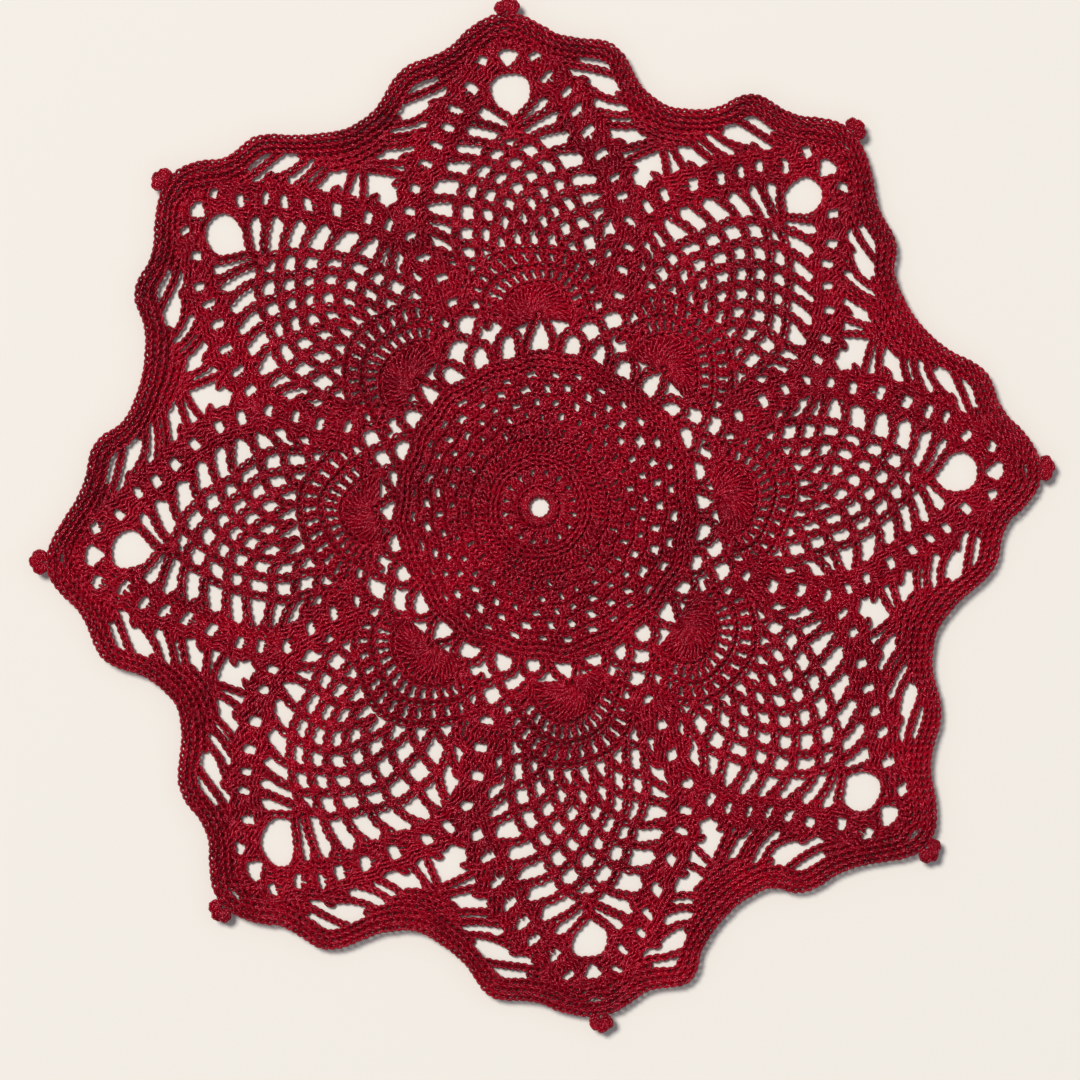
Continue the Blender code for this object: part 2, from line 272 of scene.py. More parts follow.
def long_stitch(turns, spread, count=2):
    """Strands wound round each other over a unit length, with a wrap across them."""
    strands = []
    steps = 8
    for which in range(count):
        phase = 2 * math.pi * which / count
        strand = []
        for i in range(steps + 1):
            t = i / steps
            turn = 2 * math.pi * turns * t + phase
            strand.append((t - 0.5, spread * math.cos(turn), spread * math.sin(turn)))
        strands.append((strand, False))
    wrap = [(-0.14, -0.62, -0.25), (-0.06, -0.40, 0.42), (0.06, 0.30, 0.52), (0.14, 0.66, -0.1)]
    strands.append(([(x, y * MM, z * MM) for x, y, z in wrap], False))
    return stitch_guide("long_stitch", strands)


def node(tree, kind, settings=(), **values):
    """A node with its settings, and with values or other nodes' outputs on its inputs."""
    made = tree.nodes.new(kind)
    for key, value in dict(settings).items():
        setattr(made, key, value)
    for key, value in values.items():
        feed(tree, value, made.inputs[key.replace("_", " ")])
    return made


def feed(tree, value, socket):
    """Links a node's output to a socket, or sets a plain value on it."""
    if isinstance(value, bpy.types.NodeSocket):
        tree.links.new(value, socket)
    else:
        socket.default_value = value


def maths(tree, operation, *values):
    """The result of a Math node."""
    made = tree.nodes.new("ShaderNodeMath")
    made.operation = operation
    for value, socket in zip(values, made.inputs):
        feed(tree, value, socket)
    return made.outputs[0]


def uneven(tree, amount, seed, salt):
    """A random number from -amount to amount for each stitch."""
    made = tree.nodes.new("FunctionNodeRandomValue")
    made.data_type = "FLOAT"
    feed(tree, maths(tree, "MULTIPLY", amount, -1.0), made.inputs[2])
    feed(tree, amount, made.inputs[3])
    feed(tree, maths(tree, "ADD", seed, salt), made.inputs["Seed"])
    return made.outputs[1]


def stitch_tree():
    """Sets chain stitches along rows and long stitches on posts, and gives them thread."""
    tree = bpy.data.node_groups.new("crochet", "GeometryNodeTree")
    sockets = (("Rows", "Object"), ("Posts", "Object"), ("Chain stitch", "Object"),
               ("Long stitch", "Object"), ("Stitch length", "Float"), ("Row width", "Float"),
               ("Thread radius", "Float"), ("Unevenness", "Float"), ("Seed", "Int"),
               ("Finish", "Material"))
    for name, kind in sockets:
        tree.interface.new_socket(name, in_out="INPUT", socket_type="NodeSocket" + kind)
    tree.interface.new_socket("Geometry", in_out="OUTPUT", socket_type="NodeSocketGeometry")
    given = tree.nodes.new("NodeGroupInput").outputs
    seed = given["Seed"]
    loose = given["Unevenness"]

    # chain stitches along the rows
    rows = node(tree, "GeometryNodeObjectInfo", Object=given["Rows"])
    spaced = node(tree, "GeometryNodeResampleCurve", {"mode": "LENGTH"},
                  Curve=rows.outputs["Geometry"], Length=given["Stitch length"])
    size = tree.nodes.new("GeometryNodeSplineLength")
    closed = tree.nodes.new("GeometryNodeInputSplineCyclic")
    gaps = maths(tree, "ADD", maths(tree, "SUBTRACT", size.outputs["Point Count"], 1.0),
                 closed.outputs[0])
    pitch = maths(tree, "DIVIDE", size.outputs["Length"], gaps)
    stretch = maths(tree, "DIVIDE", pitch, given["Stitch length"])
    tangent = tree.nodes.new("GeometryNodeInputTangent")
    facing = node(tree, "FunctionNodeAxesToRotation",
                  {"primary_axis": "X", "secondary_axis": "Z"},
                  Primary_Axis=tangent.outputs[0], Secondary_Axis=(0.0, 0.0, 1.0))
    roll = node(tree, "ShaderNodeCombineXYZ", X=uneven(tree, loose, seed, 1.0),
                Z=maths(tree, "MULTIPLY", uneven(tree, loose, seed, 2.0), 0.5))
    turned_rows = node(tree, "FunctionNodeRotateRotation", {"rotation_space": "LOCAL"},
                       Rotation=facing.outputs[0], Rotate_By=roll.outputs[0])
    width = maths(tree, "MULTIPLY", given["Row width"],
                  maths(tree, "ADD", 1.0, maths(tree, "MULTIPLY", uneven(tree, loose, seed, 3.0), 0.4)))
    row_scale = node(tree, "ShaderNodeCombineXYZ", X=stretch, Y=width, Z=given["Row width"])
    chain = node(tree, "GeometryNodeObjectInfo", Object=given["Chain stitch"])
    row_stitches = node(tree, "GeometryNodeInstanceOnPoints", Points=spaced.outputs[0],
                        Instance=chain.outputs["Geometry"], Rotation=turned_rows.outputs[0],
                        Scale=row_scale.outputs[0])

    # long stitches, one on each post
    posts = node(tree, "GeometryNodeObjectInfo", Object=given["Posts"])
    ends = tree.nodes.new("GeometryNodeInputMeshEdgeVertices")
    reach = node(tree, "ShaderNodeVectorMath", {"operation": "SUBTRACT"})
    tree.links.new(ends.outputs["Position 2"], reach.inputs[0])
    tree.links.new(ends.outputs["Position 1"], reach.inputs[1])
    held = tree.nodes.new("GeometryNodeCaptureAttribute")
    held.domain = "EDGE"
    held.capture_items.new("VECTOR", "Reach")
    tree.links.new(posts.outputs["Geometry"], held.inputs["Geometry"])
    tree.links.new(reach.outputs[0], held.inputs["Reach"])
    spots = node(tree, "GeometryNodeMeshToPoints", {"mode": "EDGES"}, Mesh=held.outputs["Geometry"])
    standing = node(tree, "FunctionNodeAxesToRotation",
                    {"primary_axis": "X", "secondary_axis": "Z"},
                    Primary_Axis=held.outputs["Reach"], Secondary_Axis=(0.0, 0.0, 1.0))
    post_roll = node(tree, "ShaderNodeCombineXYZ",
                     X=maths(tree, "MULTIPLY", uneven(tree, loose, seed, 4.0), 2.5))
    turned_posts = node(tree, "FunctionNodeRotateRotation", {"rotation_space": "LOCAL"},
                        Rotation=standing.outputs[0], Rotate_By=post_roll.outputs[0])
    post_length = node(tree, "ShaderNodeVectorMath", {"operation": "LENGTH"})
    tree.links.new(held.outputs["Reach"], post_length.inputs[0])
    fullness = maths(tree, "ADD", 1.0, maths(tree, "MULTIPLY", uneven(tree, loose, seed, 5.0), 0.5))
    post_scale = node(tree, "ShaderNodeCombineXYZ", X=post_length.outputs["Value"], Y=fullness, Z=1.0)
    post = node(tree, "GeometryNodeObjectInfo", Object=given["Long stitch"])
    post_stitches = node(tree, "GeometryNodeInstanceOnPoints", Points=spots.outputs[0],
                         Instance=post.outputs["Geometry"], Rotation=turned_posts.outputs[0],
                         Scale=post_scale.outputs[0])

    # the thread itself, with its ply and a shade for each stitch kept for the dye
    both = tree.nodes.new("GeometryNodeJoinGeometry")
    tree.links.new(post_stitches.outputs[0], both.inputs[0])
    tree.links.new(row_stitches.outputs[0], both.inputs[0])
    shade = tree.nodes.new("GeometryNodeCaptureAttribute")
    shade.domain = "INSTANCE"
    shade.capture_items.new("FLOAT", "Shade")
    tree.links.new(both.outputs[0], shade.inputs["Geometry"])
    tree.links.new(uneven(tree, 1.0, seed, 6.0), shade.inputs["Shade"])
    real = node(tree, "GeometryNodeRealizeInstances", Geometry=shade.outputs["Geometry"])
    along = tree.nodes.new("GeometryNodeCaptureAttribute")
    along.capture_items.new("FLOAT", "Along")
    travelled = tree.nodes.new("GeometryNodeSplineParameter")
    tree.links.new(real.outputs[0], along.inputs["Geometry"])
    tree.links.new(travelled.outputs["Length"], along.inputs["Along"])
    section = node(tree, "GeometryNodeCurvePrimitiveCircle", {"mode": "RADIUS"},
                   Resolution=THREAD_SIDES, Radius=given["Thread radius"])
    turn = tree.nodes.new("GeometryNodeCaptureAttribute")
    turn.capture_items.new("FLOAT", "Turn")
    part = tree.nodes.new("GeometryNodeSplineParameter")
    angle = maths(tree, "MULTIPLY", part.outputs["Index"], 2 * math.pi / THREAD_SIDES)
    tree.links.new(section.outputs[0], turn.inputs["Geometry"])
    tree.links.new(angle, turn.inputs["Turn"])
    thread = node(tree, "GeometryNodeCurveToMesh", Curve=along.outputs["Geometry"],
                  Profile_Curve=turn.outputs["Geometry"], Fill_Caps=True)
    smooth = node(tree, "GeometryNodeSetShadeSmooth", Geometry=thread.outputs[0])
    ply = node(tree, "ShaderNodeCombineXYZ", X=maths(tree, "COSINE", turn.outputs["Turn"]),
               Y=maths(tree, "SINE", turn.outputs["Turn"]), Z=along.outputs["Along"])
    with_ply = node(tree, "GeometryNodeStoreNamedAttribute",
                    {"data_type": "FLOAT_VECTOR", "domain": "POINT"},
                    Geometry=smooth.outputs[0], Name="ply", Value=ply.outputs[0])
    with_shade = node(tree, "GeometryNodeStoreNamedAttribute",
                      {"data_type": "FLOAT", "domain": "POINT"},
                      Geometry=with_ply.outputs[0], Name="shade", Value=shade.outputs["Shade"])
    finished = node(tree, "GeometryNodeSetMaterial", Geometry=with_shade.outputs[0],
                    Material=given["Finish"])
    result = tree.nodes.new("NodeGroupOutput")
    tree.links.new(finished.outputs[0], result.inputs[0])
    return tree


def cotton(name, deep, bright, seed):
    """Mercerised cotton: three plies that catch the light, in a slightly uneven dye, with painted shade
    in their grooves and painted glints on their ridges.
    """
    material = bpy.data.materials.new(name)
    material.use_nodes = True
    tree = material.node_tree
    surface = tree.nodes["Principled BSDF"]
    surface.inputs["Roughness"].default_value = 0.15
    surface.inputs["Specular IOR Level"].default_value = 0.85
    surface.inputs["Specular Tint"].default_value = (1.0, 0.21, 0.29, 1.0)

    # the plies run round the thread as a fine screw
    ply = node(tree, "ShaderNodeAttribute", {"attribute_name": "ply"})
    parts = node(tree, "ShaderNodeSeparateXYZ", Vector=ply.outputs["Vector"])
    turn = maths(tree, "ARCTAN2", parts.outputs["Y"], parts.outputs["X"])
    twist = maths(tree, "MULTIPLY", parts.outputs["Z"], 2 * PLIES * math.pi / PLY_PITCH)
    screw = maths(tree, "SINE", maths(tree, "ADD", maths(tree, "MULTIPLY", turn, PLIES), twist))
    ridge = maths(tree, "POWER", maths(tree, "ADD", maths(tree, "MULTIPLY", screw, 0.5), 0.5), 0.6)

    place = tree.nodes.new("ShaderNodeTexCoord")
    patches = node(tree, "ShaderNodeTexNoise", {"noise_dimensions": "4D"},
                   Vector=place.outputs["Object"], W=float(seed), Scale=38.0, Detail=3.0)
    fibres = node(tree, "ShaderNodeTexNoise", Vector=place.outputs["Object"], Scale=5200.0,
                  Detail=2.0)
    shade = node(tree, "ShaderNodeAttribute", {"attribute_name": "shade"})
    tone = maths(tree, "ADD", maths(tree, "MULTIPLY", shade.outputs["Fac"], 0.14),
                 patches.outputs["Fac"])
    dye = tree.nodes.new("ShaderNodeValToRGB")
    dye.color_ramp.elements[0].position = 0.25
    dye.color_ramp.elements[0].color = deep
    dye.color_ramp.elements[1].position = 0.75
    dye.color_ramp.elements[1].color = bright
    tree.links.new(tone, dye.inputs["Fac"])
    # painted shade: the colour is darkened towards a dull purple in the grooves between the plies
    painted_groove_shade = node(tree, "ShaderNodeMix", {"data_type": "RGBA", "blend_type": "MULTIPLY"})
    groove = maths(tree, "SUBTRACT", 1.0, ridge)
    tree.links.new(maths(tree, "MULTIPLY", groove, 0.85), painted_groove_shade.inputs["Factor"])
    tree.links.new(dye.outputs["Color"], painted_groove_shade.inputs[6])
    painted_groove_shade.inputs[7].default_value = (0.30, 0.18, 0.28, 1.0)

    # painted highlight: here and there the colour on a ply's ridge is brightened towards a pale red, as
    # a painted glint
    spots = node(tree, "ShaderNodeTexNoise", Vector=place.outputs["Object"], Scale=650.0, Detail=1.0)
    painted_glint_spots = node(tree, "ShaderNodeMapRange", {"interpolation_type": "SMOOTHSTEP"},
                     Value=spots.outputs["Fac"], From_Min=0.54, From_Max=0.70)
    painted_glint = maths(tree, "MULTIPLY", maths(tree, "MULTIPLY", ridge, ridge), painted_glint_spots.outputs["Result"])
    painted_sheen = node(tree, "ShaderNodeMix", {"data_type": "RGBA"})
    tree.links.new(maths(tree, "MULTIPLY", painted_glint, 0.36), painted_sheen.inputs["Factor"])
    tree.links.new(painted_groove_shade.outputs[2], painted_sheen.inputs[6])
    painted_sheen.inputs[7].default_value = (0.95, 0.07, 0.13, 1.0)
    tree.links.new(painted_sheen.outputs[2], surface.inputs["Base Color"])

    height = maths(tree, "ADD", ridge, maths(tree, "MULTIPLY", fibres.outputs["Fac"], 0.35))
    bump = node(tree, "ShaderNodeBump", Strength=0.9, Distance=0.00011, Height=height)
    tree.links.new(bump.outputs["Normal"], surface.inputs["Normal"])
    return material


CRIMSON_DEEP = (0.19, 0.0003, 0.006, 1.0)
CRIMSON_BRIGHT = (0.45, 0.0008, 0.014, 1.0)
COTTON = cotton("crimson_cotton", CRIMSON_DEEP, CRIMSON_BRIGHT, 1)
CROCHET = stitch_tree()
SOCKET = {item.name: item.identifier for item in CROCHET.interface.items_tree}
CHAIN = chain_stitch(STITCH_LENGTH)
SHORT_POST = long_stitch(1.0, 0.46 * MM)
TALL_POST = long_stitch(1.5, 0.62 * MM, 3)


def worked_piece(name, rows, posts, nodes, seed, width=1.2, tall=False,
                 stitch=STITCH_LENGTH):
    """One section of the doily, worked in thread.

    Rows are lines of chain stitches, each with a mark for a closed one.  Posts are
    pairs of ends, with one long stitch on each.
    """
    rows_guide = stitch_guide(name + "_rows", rows)
    posts_mesh = bpy.data.meshes.new(name + "_posts")
    ends = [place for post in posts for place in post]
    posts_mesh.from_pydata(ends, [(i, i + 1) for i in range(0, len(ends), 2)], [])
    posts_guide = bpy.data.objects.new(name + "_posts", posts_mesh)
    piece = bpy.data.objects.new(name, bpy.data.meshes.new(name))
    for item in (posts_guide, piece):
        bpy.context.scene.collection.objects.link(item)
    worked = piece.modifiers.new("stitches", "NODES")
    worked.node_group = CROCHET
    settings = {"Rows": rows_guide, "Posts": posts_guide, "Chain stitch": CHAIN,
                "Long stitch": TALL_POST if tall else SHORT_POST, "Stitch length": stitch,
                "Row width": width, "Thread radius": THREAD_RADIUS, "Unevenness": UNEVENNESS,
                "Seed": seed, "Finish": COTTON}
    for key, value in settings.items():
        worked[SOCKET[key]] = value
    evaluated = piece.evaluated_get(bpy.context.evaluated_depsgraph_get())
    mesh = bpy.data.meshes.new_from_object(evaluated)
    piece.modifiers.clear()
    piece.data = mesh
    mesh.name = name
    for guide in (rows_guide, posts_guide):
        bpy.data.objects.remove(guide, do_unlink=True)
    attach(piece, "root")
    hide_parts(*nodes)
    return piece


EYE_STITCHES = 30
LOOP_HEIGHT = 0.75 * MM
eye_posts = spokes(EYE_STITCHES, 3.3, 4.7)
eye_rows = [ring(3.7, LOOP_HEIGHT, 48), ring(5.5, count=48)]
centre_ring = worked_piece("centre_ring_thread", eye_rows, eye_posts, ["centre_ring"],
                           seed=11)


# ---- Spoke round ----------------------------------------------------------------
# Sixteen spokes, each of three long stitches side by side, stand round the ring
# with slots between them.  Three close rope-like rows hold their heads.

SPOKE_COUNT = 16
spoke_posts = spokes(SPOKE_COUNT, 6.3, 10.5, group=3, step=0.8)
spoke_rows = [ring(radius, count=72) for radius in (11.3, 12.7, 14.0)]
spoke_round = worked_piece("spoke_round_thread", spoke_rows, spoke_posts, ["spoke_round"],
                           seed=12)


# ---- Dense rounds ---------------------------------------------------------------
# One round of long stitches in the same cotton, packed side by side.  Their heads
# make a row of chain on top, which the next round is worked into.

DENSE_STITCHES = 72
dense_posts = spokes(DENSE_STITCHES, 14.8, 18.4)
dense_rounds = worked_piece("dense_rounds_thread", [ring(19.1)], dense_posts, ["dense_rounds"],
                            seed=13)


# ---- Open rounds ----------------------------------------------------------------
# Five rounds of long stitches in threes.  A small opening is left between the
# groups, and each round sits half a group over from the last.

GROUPS = 32
# the inner and outer radius of each round, and the step from stitch to stitch
OPEN_ROUNDS = ((19.7, 22.9, 1.15), (23.8, 26.8, 1.22), (27.6, 30.5, 1.25), (31.3, 34.2, 1.38),
               (35.1, 37.2, 1.55))
open_posts = []
for i, (inner, outer, step) in enumerate(OPEN_ROUNDS):
    open_posts += spokes(GROUPS, inner, outer, offset=0.5 * (i % 2), group=3, step=step)
open_rows = [ring(radius) for radius in (23.4, 27.2, 30.9, 34.7)]
open_rounds = worked_piece("open_rounds_thread", open_rows, open_posts, ["open_rounds"],
                           seed=14)


# ---- Medallion rim --------------------------------------------------------------
# Three close rows of the same cotton finish the medallion, like three ropes laid
# side by side.

rim_rows = [ring(radius, count=160) for radius in (37.8, 39.5, 41.2)]
medallion_rim = worked_piece("medallion_rim_thread", rim_rows, [], ["medallion_rim"],
                             seed=15)


# ---- Arch lattice ---------------------------------------------------------------
# Three rows of chain arches, each caught into the tops of the arches below, lead
# from the medallion to the pineapples.

# lines of the lattice, as (angle from their axis, radius)
ARCH = ((-4.6, 42.3), (-4.4, 44.2), (-3.2, 46.5), (0.0, 47.8), (3.2, 46.5), (4.4, 44.2), (4.6, 42.3))
SECOND_ARCH = ((-5.2, 48.8), (-4.2, 49.9), (-2.6, 51.7), (0.0, 52.5), (2.6, 51.7), (4.2, 49.9),
               (5.2, 48.8))
THIRD_ARCH = ((-5.2, 52.9), (-3.8, 54.4), (-2.0, 56.2), (0.0, 56.8), (2.0, 56.2), (3.8, 54.4),
              (5.2, 52.9))
BASE_LEG = ((4.7, 42.3), (4.3, 44.6), (2.9, 47.0), (1.0, 49.4))
FAN_SIDE = ((10.9, 49.8), (11.4, 52.2), (12.6, 54.6))


def moved(points, turn):
    """The same line turned round the middle by some degrees."""
    return [(angle + turn, radius) for angle, radius in points]


def mirror(points):
    """The same line on the other side of the axis."""
    return [(-across, out) for across, out in points]


lattice_rows = []
for k in range(REPEATS):
    axis = REPEAT_ANGLE * k
    lines = [BASE_LEG, mirror(BASE_LEG), FAN_SIDE, mirror(FAN_SIDE)]
    lines += [moved(ARCH, turn) for turn in (11.25, 22.5, 33.75)]
    lines += [moved(SECOND_ARCH, turn) for turn in (16.9, 28.1)]
    lines.append(moved(THIRD_ARCH, 22.5))
    lattice_rows += [(polar(axis, curved(line)), False) for line in lines]
arch_lattice = worked_piece("arch_lattice_thread", lattice_rows, [], ["arch_lattice"],
                            seed=16, width=1.45)


# ---- Pineapple fans -------------------------------------------------------------
# Long stitches worked into one loop spread past half a turn, with a chained edge
# round their heads.

FAN_STEP = 11.5
FAN_TURNS = [FAN_STEP * i for i in range(-9, 9)]
FAN_RIM = 10.2
FAN_FOOT = 1.1
FAN_HEAD = 9.3
FAN_RIM_END = 4


def fan_spot(turn, reach):
    """A place round the fan's loop, as (across, out)."""
    return (reach * math.sin(math.radians(turn)), FAN_BASE + reach * math.cos(math.radians(turn)))


def fan_arc(reach, low, high, steps=24):
    """A line round the fan's loop, from a low turn to a high one."""
    return [fan_spot(low + (high - low) * i / steps, reach) for i in range(steps + 1)]


for k in range(REPEATS):
    axis = REPEAT_ANGLE * k
    fan_posts = []
    for turn in FAN_TURNS:
        post = [fan_spot(turn, FAN_FOOT), fan_spot(turn, FAN_HEAD)]
        fan_posts.append(tuple(local(axis, post, POST_HEIGHT)))
    rim = fan_arc(FAN_RIM, FAN_TURNS[0] - FAN_RIM_END, FAN_TURNS[-1] + FAN_RIM_END)
    worked_piece(f"pineapple_fan_{k + 1}_thread", [(local(axis, rim), False)], fan_posts,
                 [f"pineapple_fan_{k + 1}"], seed=20 + k, tall=True)


# ---- Pineapple nets -------------------------------------------------------------
# Two short rounds of spaced stitches follow the fan.  Then chain loops are caught
# into each other, one fewer in each row, until a single loop is left.

# for each row of loops, starting from the last: how far out it lies, the width of
# its loops and how much it bends back at its sides
NET_OUT = (103.6, 101.4, 97.7, 93.9, 90.2, 86.4, 82.4, 77.6, 73.05)
NET_PITCH = (9.8, 9.6, 9.1, 8.6, 7.8, 7.5, 6.7, 5.6, 4.7)
NET_SAG = (0.012, 0.013, 0.015, 0.017, 0.018, 0.021, 0.022, 0.027, 0.0355)
LAST_KNOT = (0.0, 106.8)
LAST_BEND = (3.5, 109.8)
KNOT_FOOT = 1.4
KNOT_HEAD = 0.8
CATCH_DROP = 1.6
SIDE_RISE = 0.6

# for each spaced round: its inner and outer radius from the fan's loop, its first and
# last stitch, the radius of its chained edge and the turn of a pair's stitches
SPACED_ROUNDS = ((11.0, 14.4, -8, 7, 15.3, 0.5), (16.2, 19.5, -6, 6, 20.5, 1.9))

# shells climb from the lattice to the tip: (angle from the pineapple's axis, radius)
SHELL_CENTRES = ((22.5, 56.0), (22.5, 60.8), (22.5, 68.5), (22.5, 75.7), (22.5, 83.3), (19.9, 89.1),
                 (17.6, 93.8), (14.3, 99.3), (11.4, 104.0), (9.2, 108.5), (7.6, 113.0), (4.6, 117.9),
                 (3.2, 124.7))
SHELL_HALF = 5.5
FIRST_SHELL_ROW = 8


def net_knot(row, place):
    """Where a chain loop of the net is caught; row 0 is the last one left."""
    across = (place - row / 2) * NET_PITCH[row]
    return (across, NET_OUT[row] - NET_SAG[row] * across * across)


def loop_side(foot, top, steps=4):
    """Half of a chain loop, rising steeply and rounding over at its top."""
    line = []
    for i in range(steps + 1):
        t = i / steps
        rise = 1 - (1 - t) ** 2
        line.append((foot[0] + (top[0] - foot[0]) * t, foot[1] + (top[1] - foot[1]) * rise))
    return line


def shell_frame(step):
    """A shell's centre, the way it grows and the way across it, towards the pineapple."""
    spots = [(radius * math.sin(math.radians(angle)), radius * math.cos(math.radians(angle)))
             for angle, radius in (SHELL_CENTRES[step - 1], SHELL_CENTRES[step])]
    run = (spots[1][0] - spots[0][0], spots[1][1] - spots[0][1])
    length = math.hypot(*run)
    grow = (run[0] / length, run[1] / length)
    return spots[1], grow, (-grow[1], grow[0])


def on_shell(step, across, along):
    """A place on a shell; across is positive towards the pineapple."""
    centre, grow, side = shell_frame(step)
    return (centre[0] + side[0] * across + grow[0] * along,
            centre[1] + side[1] * across + grow[1] * along)


def net_lines():
    """The chain loops of one net, and the chains that tie it to the shells beside it."""
    lines = []
    for row in range(FIRST_SHELL_ROW, 0, -1):
        for i in range(row):
            top = net_knot(row - 1, i)
            left = loop_side(net_knot(row, i), top)
            right = loop_side(net_knot(row, i + 1), top)
            lines.append(left + right[-2::-1])
    for row in range(FIRST_SHELL_ROW, -1, -1):
        knot = net_knot(row, row)
        end = on_shell(FIRST_SHELL_ROW - row + 2, SHELL_HALF, -CATCH_DROP)
        middle = ((knot[0] + end[0]) / 2, (knot[1] + end[1]) / 2 + SIDE_RISE)
        side = curved([knot, middle, end], 3)
        lines += [side, mirror(side)]
    end = on_shell(FIRST_SHELL_ROW + 3, SHELL_HALF, -CATCH_DROP)
    side = curved([net_knot(0, 0), LAST_KNOT, LAST_BEND, end], 3)
    lines += [side, mirror(side)]
    return lines


for k in range(REPEATS):
    axis = REPEAT_ANGLE * k
    net_rows = [(local(axis, line), False) for line in net_lines()]
    net_posts = []
    for row in range(FIRST_SHELL_ROW):
        for i in range(row + 1):
            across, out = net_knot(row, i)
            post = [(across, out - KNOT_FOOT), (across, out + KNOT_HEAD)]
            net_posts.append(tuple(local(axis, post, POST_HEIGHT)))
    for inner, outer, first, last, edge, apart in SPACED_ROUNDS:
        for i in range(first, last + 1):
            for side in (-1, 1):
                turn = FAN_STEP * i + side * apart
                post = [fan_spot(turn, inner), fan_spot(turn, outer)]
                net_posts.append(tuple(local(axis, post, POST_HEIGHT)))
        arc = fan_arc(edge, FAN_STEP * first - 5, FAN_STEP * last + 5, 30)
        net_rows.append((local(axis, arc), False))
    worked_piece(f"pineapple_net_{k + 1}_thread", net_rows, net_posts,
                 [f"pineapple_net_{k + 1}"], seed=30 + k, width=1.5)


# ---- Shell columns --------------------------------------------------------------
# Shells of three long stitches, two chains and three long stitches, each worked
# into the space of the one below.  They climb in one column, then part in two.

SHELL_TOPS = (2.5, 3.6, 4.7)
SHELL_FOOT = 1.0
SHELL_FOOT_STEP = 1.2
SHELL_OVERLAP = 0.8
HEAD_RISE = 1.6
HEAD_BEND = 0.07
SPLIT_STEP = 5


def shell_posts(step, flip):
    """The stitches of a shell, as pairs of (across, out): a short one at each side
    of the foot, then three long ones."""
    found = []
    length = math.dist(*[(r * math.sin(math.radians(a)), r * math.cos(math.radians(a)))
                         for a, r in (SHELL_CENTRES[step - 1], SHELL_CENTRES[step])])
    for side in (-1, 1):
        post = [on_shell(step, 0.4 * side, SHELL_OVERLAP - length), on_shell(step, 0.8 * side, -1.7)]
        found.append(mirror(post) if flip else post)
        for i, top in enumerate(SHELL_TOPS):
            foot = on_shell(step, side * (SHELL_FOOT + SHELL_FOOT_STEP * i),
                            SHELL_OVERLAP - length - 0.25 * i)
            head = on_shell(step, side * top, 0.7 - 0.05 * top * top)
            post = [foot, head]
            found.append(mirror(post) if flip else post)
    return found


def shell_head(step, flip):
    """The chained edge over a shell, with its two-chain space in the middle."""
    line = []
    steps = 6
    for i in range(steps + 1):
        across = SHELL_HALF * (2 * i / steps - 1)
        line.append(on_shell(step, across, HEAD_RISE - HEAD_BEND * across * across))
    return mirror(line) if flip else line


for k in range(REPEATS):
    axis = REPEAT_ANGLE * k
    column_rows = []
    column_posts = []
    for step in range(1, len(SHELL_CENTRES) - 1):
        sides = ((axis, False),) if step < SPLIT_STEP else ((axis, False), (axis + REPEAT_ANGLE, True))
        for side_axis, flip in sides:
            for post in shell_posts(step, flip):
                column_posts.append(tuple(local(side_axis, post, POST_HEIGHT)))
            column_rows.append((local(side_axis, shell_head(step, flip)), False))
    worked_piece(f"shell_columns_{k + 1}_thread", column_rows, column_posts,
                 [f"shell_columns_{k + 1}"], seed=40 + k)


# ---- Valley wedges --------------------------------------------------------------
# Chain ladders run from the shells to the middle of each valley, where short rows
# of close stitches build up a wedge.

HALF_REPEAT = REPEAT_ANGLE / 2
# lines and rows of a valley, as (mm across, mm out) along its axis
LADDERS = (((6.6, 97.4), (3.8, 100.8), (0.8, 104.0)),
           ((9.8, 100.2), (5.8, 103.0), (2.6, 105.4)),
           ((15.4, 105.0), (11.0, 106.6), (7.0, 108.8)),
           ((18.6, 107.0), (13.8, 108.2), (9.6, 110.4)),
           ((25.6, 112.0), (18.2, 110.9), (12.8, 112.6)),
           ((34.4, 116.0), (27.2, 116.2), (19.4, 117.4)))
WEDGE_HALVES = (3.0, 6.2, 9.8, 14.0)
WEDGE_OUT = 105.0
WEDGE_ROW = 1.8
WEDGE_BEND = 0.0163

for k in range(REPEATS):
    axis = REPEAT_ANGLE * k + HALF_REPEAT
    wedge_rows = []
    for ladder in LADDERS:
        for line in (ladder, mirror(ladder)):
            wedge_rows.append((local(axis, curved(list(line), 3)), False))
    for i, half in enumerate(WEDGE_HALVES):
        row = [(across * half, WEDGE_OUT + WEDGE_ROW * i + WEDGE_BEND * (across * half) ** 2)
               for across in (-1.0, -0.5, 0.0, 0.5, 1.0)]
        wedge_rows.append((local(axis, row), False))
    wedge = worked_piece(f"valley_wedge_{k + 1}_thread", wedge_rows, [], [f"valley_wedge_{k + 1}"],
                         seed=50 + k)


# ---- Point clusters -------------------------------------------------------------
# The two shell columns meet above the pineapple's last opening.  Long stitches
# radiate from there to the border, and another close row crosses them.

# half of a point's outline, from its tip to the valley: (mm across, mm out)
EDGE = ((0.0, 136.6), (5.0, 135.6), (10.5, 132.0), (14.6, 128.4), (19.6, 126.0),
        (26.4, 124.4), (30.6, 121.2), (33.4, 116.6), (37.0, 112.6))
VALLEY_OUT = 116.6
CLUSTER_MIDDLE = 124.6
CLUSTER_TURNS = range(-4, 5)
CLUSTER_STEP = 19.0
CLUSTER_RISE = 0.8
CLUSTER_FOOT = (3.4, 1.9)
CLUSTER_HEAD = (5.7, 4.6)
INNER_MARGIN = 6.2
TEARDROP = ((7.2, 112.9), (6.3, 115.4), (5.7, 117.9), (3.4, 120.3), (0.0, 121.0))
CROWN = ((3.8, 125.2), (2.8, 126.9), (0.0, 127.7))
TIP_SLIT = 1.2


def shifted(points, distance):
    """A line moved sideways by distance, to the right of its direction."""
    found = []
    for i, (across, out) in enumerate(points):
        before = points[max(i - 1, 0)]
        after = points[min(i + 1, len(points) - 1)]
        run = (after[0] - before[0], after[1] - before[1])
        length = math.hypot(*run)
        found.append((across + run[1] / length * distance, out - run[0] / length * distance))
    return found


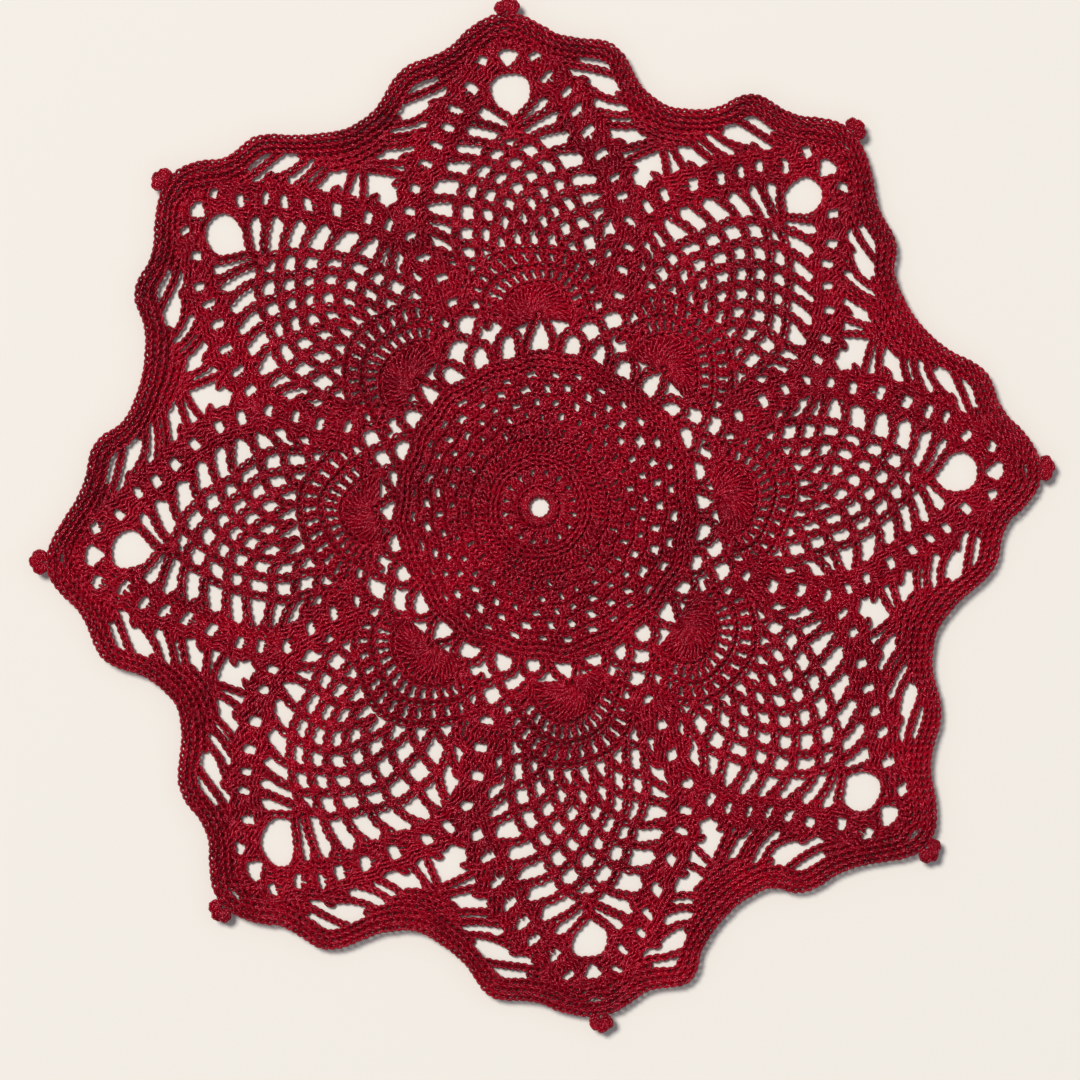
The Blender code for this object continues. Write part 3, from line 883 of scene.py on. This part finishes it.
for k in range(REPEATS):
    axis = REPEAT_ANGLE * k
    last = len(SHELL_CENTRES) - 1
    cluster_posts = []
    cluster_rows = []
    for flip in (False, True):
        cluster_posts += [tuple(local(axis, post, POST_HEIGHT)) for post in shell_posts(last, flip)]
        cluster_rows.append((local(axis, shell_head(last, flip)), False))
    for i in CLUSTER_TURNS:
        turn = math.radians(CLUSTER_STEP * i)
        post = [(wide * math.sin(turn), CLUSTER_MIDDLE + CLUSTER_RISE + tall * math.cos(turn))
                for wide, tall in (CLUSTER_FOOT, CLUSTER_HEAD)]
        cluster_posts.append(tuple(local(axis, post, POST_HEIGHT)))
    inner_row = shifted(EDGE[:5], INNER_MARGIN)
    inner_row[0] = (0.0, EDGE[0][1] - INNER_MARGIN - TIP_SLIT)
    for half in (inner_row, TEARDROP[::-1], CROWN[::-1]):
        line = curved([*mirror(half[:0:-1]), *half], 3)
        cluster_rows.append((local(axis, line), False))
    worked_piece(f"point_cluster_{k + 1}_thread", cluster_rows, cluster_posts,
                 [f"point_cluster_{k + 1}"], seed=60 + k)


# ---- Border ---------------------------------------------------------------------
# Three rows of close stitches run round the whole edge, side by side like ropes.
# The outer ones curl up a little from the table.

BORDER_MARGINS = (0.95, 2.7, 4.4)
CURL_WIDTH = 6.0


def turned(points, degrees):
    """The points seen from an axis that lies clockwise by degrees."""
    sine = math.sin(math.radians(degrees))
    cosine = math.cos(math.radians(degrees))
    return [(u * cosine - v * sine, u * sine + v * cosine) for u, v in points]


border_rows = []
for margin in BORDER_MARGINS:
    slit = TIP_SLIT if margin == BORDER_MARGINS[-1] else 0.0
    rise = EDGE_CURL * (1 - margin / CURL_WIDTH)
    circuit = []
    for k in range(REPEATS):
        half = shifted(turned(EDGE, HALF_REPEAT) + [(0.0, VALLEY_OUT)], margin)
        half[0] = turned([(0.0, EDGE[0][1] - margin - slit)], HALF_REPEAT)[0]
        half[-1] = (0.0, VALLEY_OUT - margin)
        whole = half + [(-u, v) for u, v in reversed(half[:-1])]
        circuit += local(REPEAT_ANGLE * k + HALF_REPEAT, whole[:-1], CORD_HEIGHT + rise)
    border_rows.append((curved(circuit + circuit[:1], 4)[:-1], True))
border = worked_piece("border_thread", border_rows, [], ["border"], seed=70)


# ---- Tip picots -----------------------------------------------------------------
# A knot of three tiny chain loops of the same cotton sits on the very tip of each
# point, in line with the border's outer row.

PICOT_OUT = 137.9
PICOT_LOOP = 1.0
PICOT_POINTS = 8
PICOT_SWING = 75.0
PICOT_WIDE = 1.7
PICOT_TALL = 1.2

for k in range(REPEATS):
    axis = REPEAT_ANGLE * k
    picot_rows = []
    for lobe in (-1, 0, 1):
        swing = math.radians(PICOT_SWING * lobe)
        middle = (PICOT_WIDE * math.sin(swing), PICOT_OUT + PICOT_TALL * math.cos(swing))
        turns = [2 * math.pi * i / PICOT_POINTS for i in range(PICOT_POINTS)]
        loop = [(middle[0] + PICOT_LOOP * math.sin(turn), middle[1] + PICOT_LOOP * math.cos(turn))
                for turn in turns]
        picot_rows.append((local(axis, loop, CORD_HEIGHT + EDGE_CURL), True))
    picot = worked_piece(f"tip_picot_{k + 1}_thread", picot_rows, [], [f"tip_picot_{k + 1}"],
                         seed=80 + k, width=0.8, stitch=1.2 * MM)

# the single stitches were only patterns for the thread
for guide in (CHAIN, SHORT_POST, TALL_POST):
    bpy.data.objects.remove(guide, do_unlink=True)
